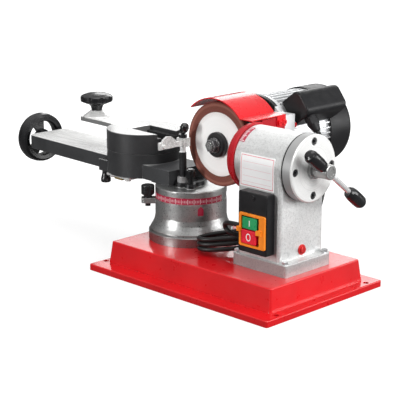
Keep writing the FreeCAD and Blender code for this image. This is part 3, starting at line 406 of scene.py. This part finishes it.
def two_tone(name, side, top, side_rough, arcs=None, above=0.0, past=None):
    """Dark painted sides with a ground top face.

    The top is bare from height `above`, and fades in over the `past` distances down the arm.
    Its lines are rings about the upright axis at `arcs`, or else run at YAW.
    """
    mat = Surface(name)
    edge = mat.edges(0.0006)
    face = mat.facing((0, 0, 1), (0.85, 0.97))
    face = mat.mul(face, mat.span(mat.xyz()[Z], (above - 0.0003, above)))
    if past:
        along = mat.dot(mat.offset((TURN_X, TURN_Y, 0)), ARM)
        face = mat.mul(face, mat.span(along, past, smooth=True))
    if arcs:
        x, y, _ = mat.xyz(mat.offset(arcs))
        rings = mat.combine(mat.radius(x, y))
        line = mat.noise(2100, detail=3, rough=0.65, at=rings)
        wide = mat.noise(260, detail=2, rough=0.6, at=rings)
    else:
        line = mat.noise(1.0, detail=4, rough=0.7,
                         at=mat.stretched(scale=(18, 2400, 2400), rot=(0, 0, YAW)))
        wide = mat.noise(1.0, detail=3, rough=0.6,
                         at=mat.stretched(scale=(8, 190, 190), rot=(0, 0, YAW)))
    bare = mat.ramp(line, (0.3, 0.7), toned(top, 0.84), toned(top, 1.06))
    stain = mat.span(mat.noise(30, detail=6, rough=0.7), (0.56, 0.78))
    bare = mat.tint(bare, stain, 0.20, toned(top, 0.6))
    drift = mat.noise(18, detail=5, rough=0.6)
    paint = mat.ramp(drift, (0.3, 0.7), toned(side, 0.75), toned(side, 1.25))
    speck = mat.noise(800, detail=3, rough=0.7)
    paint = mat.tint(paint, mat.span(speck, (0.55, 0.7)), 0.35, toned(side, 2.2, lift=0.01))
    rubbed = mat.span(mat.noise(150, detail=4, rough=0.7), (0.35, 0.65), to=(0.1, 0.7))
    paint = mat.tint(paint, edge, rubbed, grey(0.45))
    paint_rough = mat.span(speck, (0.3, 0.7), to=(side_rough - 0.05, side_rough + 0.12))
    bare_rough = mat.span(line, (0.3, 0.7), to=(0.20, 0.34))
    mat.set(Base_Color=mat.mix(face, paint, bare),
            Metallic=mat.lerp(face, 0.1, 0.12),
            Specular_IOR_Level=mat.lerp(face, 0.35, 0.5),
            Roughness=mat.lerp(face, paint_rough, bare_rough))
    mat.bump(wide, distance=0.0003, strength=0.06)
    mat.bump(mat.lerp(face, speck, line), distance=0.00025, strength=0.22)
    return mat.material


def wheel_radius(mat):
    """Distance from the wheel's axis."""
    x, _, z = mat.xyz(mat.offset(WHEEL))
    return mat.radius(x, z)


def abrasive():
    """Bonded grit: grains of several sizes, a pale ring painted on as a highlight, dressed rings.
    """
    mat = Surface("abrasive_grit")
    radius = wheel_radius(mat)
    grit = mat.cells(2300)
    fine = mat.noise(1900, detail=4, rough=0.7)
    base = mat.ramp(fine, (0.3, 0.7), (0.105, 0.022, 0.015), (0.26, 0.075, 0.050))
    base = mat.tint(base, mat.span(grit, (0.22, 0.10)), 0.5, (0.45, 0.24, 0.18))
    # painted highlight: a pale ring near the wheel's outer edge
    band = mat.mul(mat.span(radius, (0.0555, 0.0575), smooth=True),
                   mat.span(radius, (0.0605, 0.0590), smooth=True))
    base = mat.tint(base, band, 0.45, (0.42, 0.17, 0.12))
    base = mat.tint(base, mat.span(radius, (0.0490, CORE_RADIUS)), 0.5, (0.08, 0.03, 0.025))
    ring = mat.noise(900, detail=3, rough=0.6, at=mat.combine(radius))
    base = mat.tint(base, mat.span(ring, (0.55, 0.7)), 0.2, (0.07, 0.02, 0.015))
    mat.set(Base_Color=base,
            Roughness=mat.span(fine, (0.3, 0.7), to=(0.55, 0.85)),
            Specular_IOR_Level=0.45)
    mat.bump(ring, distance=0.0003, strength=0.2)
    mat.bump(grit, distance=0.0003, strength=0.6)
    mat.bump(fine, distance=0.0002, strength=0.6)
    return mat.material


def core():
    """White wheel core: faint rings, grinding dust towards the rim."""
    mat = Surface("wheel_core")
    radius = wheel_radius(mat)
    ring = mat.noise(700, detail=3, rough=0.6, at=mat.combine(radius))
    speck = mat.noise(900, detail=4, rough=0.7)
    base = mat.ramp(ring, (0.35, 0.65), (0.96, 0.955, 0.94), (1.0, 0.995, 0.98))
    dust = mat.span(speck, (0.35, 0.6), to=(0.1, 0.5))
    base = mat.tint(base, mat.span(radius, (0.040, CORE_RADIUS)), dust, (0.62, 0.50, 0.46))
    base = mat.tint(base, mat.span(speck, (0.62, 0.7)), 0.25, (0.5, 0.47, 0.45))
    mat.set(Base_Color=base, Roughness=mat.span(ring, (0.3, 0.7), to=(0.38, 0.55)))
    mat.bump(ring, distance=0.0002, strength=0.25)
    mat.bump(speck, distance=0.0002, strength=0.2)
    return mat.material


def ruled(name, centre, zero_axis, quarter_axis, width_axis, ticks):
    """Angle scale of white ticks on red tape, from zero_axis towards quarter_axis.

    ticks rows: spacing in degrees, from and to across the width in metres, half width in degrees.
    """
    red = (0.42, 0.008, 0.045)
    mat = Surface(name)
    mat.soften(0.0002)
    offset = mat.offset(centre)
    angle = mat.math("ARCTAN2", mat.dot(offset, quarter_axis), mat.dot(offset, zero_axis))
    degrees = mat.math("DIVIDE", angle, math.radians(1))
    across = mat.dot(offset, width_axis)
    worn = mat.noise(700, detail=4, rough=0.7)
    print_mask = None
    for spacing, low, high, half in ticks:
        turn = mat.math("FRACT", mat.add(mat.math("DIVIDE", degrees, spacing), 0.5))
        near = mat.math("ABSOLUTE", mat.math("SUBTRACT", turn, 0.5))
        tick = mat.span(near, (half / spacing, half / spacing * 0.6))
        tick = mat.mul(tick, mat.within(across, low, high, outer=0.0, inner=0.0002))
        print_mask = mat.math("MAXIMUM", print_mask, tick) if print_mask else tick
    print_mask = mat.mul(print_mask, mat.span(worn, (0.30, 0.42), to=(0.55, 1.0)))
    base = mat.ramp(mat.noise(60, detail=4), (0.3, 0.7), toned(red, 0.75), red)
    mat.set(Base_Color=mat.mix(print_mask, base, (0.88, 0.86, 0.86)),
            Roughness=mat.span(worn, (0.3, 0.7), to=(0.28, 0.42)),
            Coat_Weight=0.3,
            Coat_Roughness=0.2)
    mat.bump(print_mask, distance=0.00005, strength=0.3)
    mat.bump(worn, distance=0.0001, strength=0.15)
    return mat.material


def plate():
    """Data plate, blank but for a red frame and ruled lines."""
    left, right, bottom, top = 0.0590, 0.1180, 0.1622, 0.2042
    rule_heights = (0.1955, 0.1855, 0.1755, 0.1675)
    mat = Surface("data_plate")
    mat.soften(0.0003)
    x, _, z = mat.xyz()

    def line(coord, at, half):
        distance = mat.math("ABSOLUTE", mat.math("SUBTRACT", coord, at))
        return mat.span(distance, (half, half * 0.55))

    def frame_pair(coord, low, high, inside):
        pair = mat.math("MAXIMUM", line(coord, low, 0.0005), line(coord, high, 0.0005))
        return mat.mul(pair, inside)

    inside_x = mat.within(x, left, right, outer=0.0004, inner=0.0)
    inside_z = mat.within(z, bottom, top, outer=0.0004, inner=0.0)
    border = mat.math("MAXIMUM", frame_pair(x, left, right, inside_z),
                      frame_pair(z, bottom, top, inside_x))
    rules = line(z, rule_heights[0], 0.0003)
    for height in rule_heights[1:]:
        rules = mat.math("MAXIMUM", rules, line(z, height, 0.0003))
    rules = mat.mul(rules, mat.within(x, left, right, outer=-0.003, inner=0.0034))
    worn = mat.noise(500, detail=4, rough=0.7)
    base = mat.ramp(mat.noise(25, detail=5), (0.3, 0.7), (0.80, 0.79, 0.79), (0.88, 0.875, 0.875))
    inked = mat.span(worn, (0.3, 0.5), to=(0.6, 1.0))
    base = mat.tint(base, border, inked, (0.62, 0.03, 0.06))
    base = mat.tint(base, rules, 0.65, (0.70, 0.25, 0.28))
    mat.set(Base_Color=base,
            Metallic=0.15,
            Roughness=mat.span(worn, (0.3, 0.7), to=(0.30, 0.45)),
            Coat_Weight=0.25,
            Coat_Roughness=0.15)
    mat.bump(worn, distance=0.0001, strength=0.12)
    mat.bump(border, distance=0.00004, strength=0.3)
    return mat.material


# ---------------------------------------------------------------- pieces and their materials
undressed = set(nodes)


def dress(pieces, material):
    """Give the named pieces a material as their only one."""
    for name in pieces.split():
        slots = nodes[name].data.materials
        slots.clear()
        slots.append(material)
        undressed.discard(name)
    return material


dress("base_tray", enamel("red_enamel", (0.62, 0.006, 0.010)))
dress("wheel_guard", enamel("red_enamel_head", (0.66, 0.006, 0.012), rough=0.28))
# painted shade: the head bracket uses a darker copy of the red enamel
dress("head_bracket", enamel("red_enamel_dial_shaded", (0.42, 0.004, 0.012), rough=0.30))

# the column's -Y faces and its foot below 61 mm carry painted shade
dress("column", casting("silver_casting", (0.79, 0.795, 0.79), grain=1.8, speck=1.1, front=0.62,
                        foot=(0.0611, 0.66)))
# painted shade: the pedestal's foot below 60 mm is darkened, and everything above z 0.1255 is
# painted near-black
dress("pedestal turntable",
      casting("silver_drum", (0.44, 0.445, 0.44), metal=0.97, rough=0.31, grain=1.2, speck=1.0,
              foot=(0.0600, 0.7), zones=((Z, 0.1255, 1.0, (0.05, 0.05, 0.052)),)))
motor_paint = dict(colour=(0.66, 0.67, 0.68), grain=0.7, rough=0.34, speck=0.6)
dress("motor_housing rear_shield capacitor", casting("motor_casting", metal=0.5, **motor_paint))
dress("front_shield", casting("motor_front", metal=0.3, **motor_paint,
                              zones=((Y, 0.0, 0.0908, (0.012, 0.012, 0.013)),
                                     (X, 0.0036, 0.08, (0.70, 0.71, 0.72)))))

dress("slide_arm", two_tone("arm_iron", (0.040, 0.041, 0.043), (0.84, 0.84, 0.83),
                            side_rough=0.42, above=0.1479, past=(0.050, 0.078)))
dark_iron = (0.030, 0.0305, 0.032)
dress("blade_table", two_tone("table_iron", dark_iron, (0.54, 0.54, 0.535), side_rough=0.40,
                              arcs=(-0.30, -0.10, 0.0), above=0.1938))
dress("carriage_base", two_tone("carriage_iron", dark_iron, grey(0.06), side_rough=0.36))

dress("blade_bar", ground("bar_steel", grey(0.30), yaw=YAW, metal=0.5, rough=0.32,
                          top=(0.84, 0.84, 0.83)))
dress("quill carriage_keeps motor_bearings stop_finger stop_head contact_block",
      ground("ground_steel", (0.78, 0.78, 0.77), metal=0.45))
dress("cover_screws pivot_bolt", ground("oxide_steel", (0.035, 0.035, 0.038), rough=0.36,
                                        metal=0.4, zones=((Z, 0.0, 0.1, (0.62, 0.03, 0.03)),)))
zinc = (0.62, 0.63, 0.64)
dress("mounting_bolts", ground("zinc_steel", zinc, rough=0.3, metal=0.8))
dress("head_screws", ground("zinc_head", zinc, rough=0.3, metal=0.5,
                            zones=((X, 0.036, 0.08, (0.72, 0.010, 0.016)),)))
# the nut's edges get a near-white painted highlight
dress("wheel_nut", ground("nut_steel", (0.10, 0.10, 0.105), rough=0.3, metal=0.6,
                          edge_radius=0.0008, edge_highlight=grey(0.9)))

dress("handwheel handle_grips clamp_knob carriage_lock_knob turntable_lock_knob "
      "post_clamp_knob stop_lever",
      plastic("phenolic_black", (0.006, 0.006, 0.007), rough=0.24, grain=0.25, coat=0.15))
dress("switch_box fan_cowl capacitor_box cooling_fan cable_gland",
      plastic("moulded_black", (0.007, 0.007, 0.008), rough=0.40, grain=0.8, spec=0.25))
dress("switch_frame", plastic("moulded_orange", (0.88, 0.24, 0.012), rough=0.32, grain=0.4,
                              lift=1.15, dust=0.04))
dress("start_button", plastic("button_green", (0.015, 0.30, 0.10), rough=0.24, grain=0.2,
                              coat=0.3, lift=1.3, dust=0.0))
dress("stop_button", plastic("button_red", (0.70, 0.012, 0.030), rough=0.24, grain=0.2,
                             coat=0.3, lift=1.2, dust=0.0))
ink = plastic("printed_white", (0.90, 0.90, 0.88), rough=0.5, grain=0.3, lift=1.0, dust=0.0)
rubber = dress("power_cord motor_cord",
               plastic("cord_rubber", grey(0.007), rough=0.40, grain=1.0, dust=0.03))

dress("feed_nut leadscrew_nut",
      turned("cast_bronze", (0.60, 0.42, 0.18), (0, 0, 0.135), ARM, rough=0.3))
dress("feed_hub feed_screw", turned("hub_steel", (0.46, 0.46, 0.455), (0.16, 0, HUB_Z),
                                    (1, 0, 0), rough=0.28, metal=0.9))
# painted shade: a near-black band on the cover's side stands for the shadow in the seam groove,
# and the band beyond it is painted grey as shade on the side
dress("end_cover", turned("cover_face", (0.80, 0.80, 0.79), (0.14, 0, HUB_Z), (1, 0, 0),
                          rough=0.42, metal=0.35, relief=0.8, stains=0.8, edge_radius=0.0010,
                          zones=((X, 0.1355, 0.1490, grey(0.34)),
                                 (X, 0.1310, 0.1355, grey(0.010)))))
dress("tommy_bar", turned("chrome", (0.88, 0.88, 0.885), (0.1745, 0, HUB_Z),
                          (0.0, -0.795, 0.606), rough=0.14, metal=0.6, relief=0.25))
dress("leadscrew", turned("lead_steel", (0.50, 0.50, 0.49), (-0.09385, 0.009996, 0.1355), ARM,
                          rough=0.24))
dress("motor_shaft rotor stator",
      turned("spindle_steel", (0.66, 0.66, 0.65), WHEEL, (0, 1, 0), rough=0.18))
dress("wheel_flanges", turned("black_flange", (0.012, 0.012, 0.013), WHEEL, (0, 1, 0),
                              rough=0.34, metal=0.2, relief=0.7))
dress("centring_cone", turned("cone_steel", (0.84, 0.84, 0.83), (-0.32536, 0.02158, 0.19),
                              (0, 0, 1), rough=0.22, metal=0.35))
dress("stop_post", turned("post_steel", (0.030, 0.030, 0.032), (-0.093, -0.011, 0.15),
                          (0, 0, 1), rough=0.28, metal=0.5,
                          zones=((Z, 0.1779, 0.1990, grey(0.85)),
                                 (Z, 0.1315, 0.1404, grey(0.42)))))

dress("turntable_scale", ruled("angle_tape", (TURN_X, TURN_Y, 0.111), (1, 0, 0), (0, 1, 0),
                               width_axis=(0, 0, 1),
                               ticks=((2.5, -0.0022, 0.0016, 0.30),
                                      (10, -0.0040, 0.0036, 0.40))))
dress("scale_plates", ruled("tilt_tape", (0.0505, 0, HUB_Z), (0, 0, 1), (0, -1, 0),
                            width_axis=(1, 0, 0),
                            ticks=((2.5, -0.0034, 0.0010, 0.45),
                                   (10, -0.0040, 0.0036, 0.6))))
dress("abrasive_ring", abrasive())
dress("wheel_body", core())
dress("nameplate", plate())
assert not undressed, "no material for %s" % sorted(undressed)


def mesh_object(name, bm, material):
    mesh = bpy.data.meshes.new(name)
    bm.to_mesh(mesh)
    bm.free()
    mesh.materials.append(material)
    return add_object(name, mesh)


def add_object(name, data):
    obj = bpy.data.objects.new(name, data)
    bpy.context.scene.collection.objects.link(obj)
    return obj


# ---------------------------------------------------------------- motor cord
CORD_RADIUS = 0.0032
CORD_SIDES = 20
CORD_STEPS = 12                        # path points per waypoint
RIB_HEIGHT, RIB_PITCH, RIBBED_LENGTH = 0.00035, 0.0035, 0.018


def spline(waypoints, steps):
    """Points along a Catmull-Rom curve through the waypoints."""
    knots = [Vector(p) for p in waypoints]
    curve = []
    for i in range(len(knots) - 1):
        p0, p1, p2 = knots[max(i - 1, 0)], knots[i], knots[i + 1]
        p3 = knots[min(i + 2, len(knots) - 1)]
        for k in range(steps):
            t = k / steps
            curve.append(0.5 * ((2 * p1) + (p2 - p0) * t
                                + (2 * p0 - 5 * p1 + 4 * p2 - p3) * t * t
                                + (3 * p1 - p0 - 3 * p2 + p3) * t ** 3))
    return curve + [knots[-1]]


def plain_radius(distance):
    return CORD_RADIUS


def ribbed_radius(distance):
    """Ribs round the first stretch of the cord."""
    if distance >= RIBBED_LENGTH:
        return CORD_RADIUS
    wave = 0.5 + 0.5 * math.cos(distance * 2 * math.pi / RIB_PITCH)
    return CORD_RADIUS + RIB_HEIGHT * wave


def cord(name, path, radius_at):
    """A closed round sheath; radius_at takes the distance from the path's start."""
    bm = bmesh.new()
    last = len(path) - 1
    tangents = [(path[min(i + 1, last)] - path[max(i - 1, 0)]).normalized()
                for i in range(len(path))]
    side = tangents[0].orthogonal().normalized()
    turns = [2 * math.pi * j / CORD_SIDES for j in range(CORD_SIDES)]
    rings, distance = [], 0.0
    for i, (point, tangent) in enumerate(zip(path, tangents)):
        if i:
            distance += (point - path[i - 1]).length
            side = (side - tangent * side.dot(tangent)).normalized()
        other = tangent.cross(side)
        radius = radius_at(distance)
        rings.append([bm.verts.new(point + (side * math.cos(a) + other * math.sin(a)) * radius)
                      for a in turns])
    for ring, following in zip(rings, rings[1:]):
        for j in range(CORD_SIDES):
            k = (j + 1) % CORD_SIDES
            bm.faces.new((ring[j], ring[k], following[k], following[j]))
    bm.faces.new(list(reversed(rings[0])))
    bm.faces.new(rings[-1])
    bmesh.ops.recalc_face_normals(bm, faces=bm.faces)
    for face in bm.faces:
        face.smooth = len(face.verts) == 4
    obj = mesh_object(name, bm, rubber)
    return obj


# The upper end, set out from the wheel's axis: radially at 37 degrees, then square to that
slope, reach, drop = math.radians(37), 0.090, 0.0452
top_x = WHEEL[X] + reach * math.cos(slope) + drop * math.sin(slope)
top_z = WHEEL[Z] + reach * math.sin(slope) - drop * math.cos(slope)
cord_path = spline([(top_x, 0.112, top_z),
                    (top_x + 0.009, 0.112, top_z - 0.013),
                    (top_x + 0.020, 0.108, top_z - 0.045),
                    (top_x + 0.026, 0.096, top_z - 0.085),
                    (top_x + 0.029, 0.078, top_z - 0.115),
                    (0.093, 0.060, 0.0855),
                    (0.093, 0.050, 0.084),
                    (0.093, 0.040, 0.084)], CORD_STEPS)
cut = 3 * CORD_STEPS                   # the halves meet at the fourth waypoint
upper = cord("motor_cord_upper", cord_path[:cut + 1], ribbed_radius)
lower = cord("motor_cord_lower", cord_path[cut:], plain_radius)
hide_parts("motor_cord")
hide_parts("motor_cord")
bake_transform(upper)
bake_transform(lower)


# ---------------------------------------------------------------- marks on the buttons
MARK_X = (0.0782 + 0.1056) / 2         # midway between the buttons' sides
MARK_DEPTH, MARK_SINK = 0.00015, 0.0002  # raised above and sunk below the button's face


def ribbon(name, points, half, y, body, closed=False):
    """A raised print line along (x, z) points, standing out towards -Y."""
    bm = bmesh.new()
    count = len(points)
    section = ((-1, 0), (-0.8, -MARK_DEPTH), (0.8, -MARK_DEPTH),
               (1, 0), (1, MARK_SINK), (-1, MARK_SINK))
    rows = []
    for i, (x, z) in enumerate(points):
        before = points[(i - 1) % count] if closed or i else points[i]
        after = points[(i + 1) % count] if closed or i < count - 1 else points[i]
        dx, dz = after[0] - before[0], after[1] - before[1]
        length = math.hypot(dx, dz)
        nx, nz = -dz / length, dx / length
        rows.append([bm.verts.new((x + nx * half * side, y + dy, z + nz * half * side))
                     for side, dy in section])
    for i in range(count if closed else count - 1):
        row, following = rows[i], rows[(i + 1) % count]
        for j in range(len(section)):
            k = (j + 1) % len(section)
            bm.faces.new((row[j], row[k], following[k], following[j]))
    if not closed:
        bm.faces.new(rows[0])
        bm.faces.new(list(reversed(rows[-1])))
    bmesh.ops.recalc_face_normals(bm, faces=bm.faces)
    obj = mesh_object(name, bm, ink)
    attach(obj, body)


def start_mark():
    """An upright bar."""
    low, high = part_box("start_button")
    middle = (low[2] + high[2]) / 2
    points = [(MARK_X, middle - 0.0042 + 0.0084 * i / 6) for i in range(7)]
    ribbon("start_mark", points, half=0.0008, y=low[1], body="start")


def stop_mark():
    """An upright oval."""
    low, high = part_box("stop_button")
    middle = (low[2] + high[2]) / 2
    turns = [2 * math.pi * i / 40 for i in range(40)]
    points = [(MARK_X + 0.0036 * math.cos(a), middle + 0.0049 * math.sin(a)) for a in turns]
    ribbon("stop_mark", points, half=0.0007, y=low[1], body="stop", closed=True)


start_mark()
stop_mark()


# ---------------------------------------------------------------- studio
def area(name, at, to, size, power, spread=180):
    light = bpy.data.lights.new(name, "AREA")
    light.shape = "RECTANGLE"
    light.size, light.size_y = size
    light.energy = power
    light.spread = math.radians(spread)
    obj = add_object(name, light)
    obj.location = at
    obj.rotation_euler = (Vector(to) - Vector(at)).to_track_quat("-Z", "Y").to_euler()


area("key", at=(2.0, -0.2, 1.1), to=(0, 0, 0.12), size=(1.0, 1.2), power=42)
area("strip", at=(-0.62, -2.1, 0.55), to=(-0.12, 0, 0.12), size=(0.30, 1.0), power=4.6, spread=70)
area("top", at=(0.0, 0.3, 2.0), to=(0, 0, 0.1), size=(1.6, 1.6), power=17)
area("rim", at=(-1.2, 1.5, 0.9), to=(0, 0, 0.15), size=(1.2, 0.6), power=8)
area("low", at=(1.35, 1.3, 0.42), to=(0.0, 0.1, 0.15), size=(1.0, 0.7), power=4, spread=90)


def studio_world():
    """White to the camera; to other rays, a sky that brightens upwards."""
    world = bpy.data.worlds.new("studio")
    bpy.context.scene.world = world
    world.use_nodes = True
    tree = world.node_tree
    link = tree.links.new
    background = tree.nodes["Background"]
    rays = tree.nodes.new("ShaderNodeLightPath")
    coords = tree.nodes.new("ShaderNodeTexCoord")
    split = tree.nodes.new("ShaderNodeSeparateXYZ")
    link(coords.outputs["Generated"], split.inputs[0])
    sky = tree.nodes.new("ShaderNodeMapRange")
    sky.interpolation_type = "SMOOTHSTEP"
    for key, value in (("From Min", 0.05), ("From Max", 0.9), ("To Min", 0.11), ("To Max", 0.75)):
        sky.inputs[key].default_value = value
    link(split.outputs[2], sky.inputs[0])
    pick = tree.nodes.new("ShaderNodeMix")
    pick.data_type = "FLOAT"
    link(rays.outputs["Is Camera Ray"], pick.inputs[0])
    link(sky.outputs[0], pick.inputs[2])
    pick.inputs[3].default_value = 1.0
    background.inputs[0].default_value = (1, 1, 1, 1)
    link(pick.outputs[0], background.inputs[1])


def paper():
    """Floor paper: glows white to the camera, more so far out, and is dark to other rays."""
    mat = Surface("floor_paper")
    seen = mat.node("LightPath").outputs["Is Camera Ray"]
    sheet = mat.ramp(mat.noise(3, detail=4), (0.3, 0.7), grey(0.93), grey(0.96))
    x, y, _ = mat.xyz()
    glow = mat.span(mat.radius(x, y), (0.30, 1.0), to=(0.76, 1.0), smooth=True)
    mat.set(Base_Color=mat.mix(seen, grey(0.15), mat.mix(0.72, sheet, grey(0.0))),
            Roughness=0.8,
            Specular_IOR_Level=0.0,
            Emission_Color=(1, 1, 1),
            Emission_Strength=mat.mul(seen, glow))
    mat.bump(mat.noise(900, detail=3), distance=0.0002, strength=0.05)
    return mat.material


def add_floor():
    half, height = 9, -0.0002
    bm = bmesh.new()
    bm.faces.new([bm.verts.new((x * half, y * half, height))
                  for x, y in ((-1, -1), (1, -1), (1, 1), (-1, 1))])
    mesh_object("floor", bm, paper())


def add_camera():
    lens = bpy.data.cameras.new("camera")
    lens.lens, lens.sensor_width, lens.clip_end = 118.06, 36.0, 30.0
    camera = add_object("camera", lens)
    turn, rise = math.radians(44.908), math.radians(14.797)
    right = Vector((math.cos(turn), math.sin(turn), 0))
    back = Vector((math.sin(turn) * math.cos(rise), -math.cos(turn) * math.cos(rise),
                   math.sin(rise)))
    up = back.cross(right)
    camera.matrix_world = Matrix((right, up, back)).transposed().to_4x4()
    camera.location = (1.2691, -1.3414, 0.6064)
    bpy.context.scene.camera = camera


studio_world()
add_floor()
add_camera()
bpy.context.scene.view_settings.view_transform = "Standard"
bpy.context.scene.view_settings.look = "None"
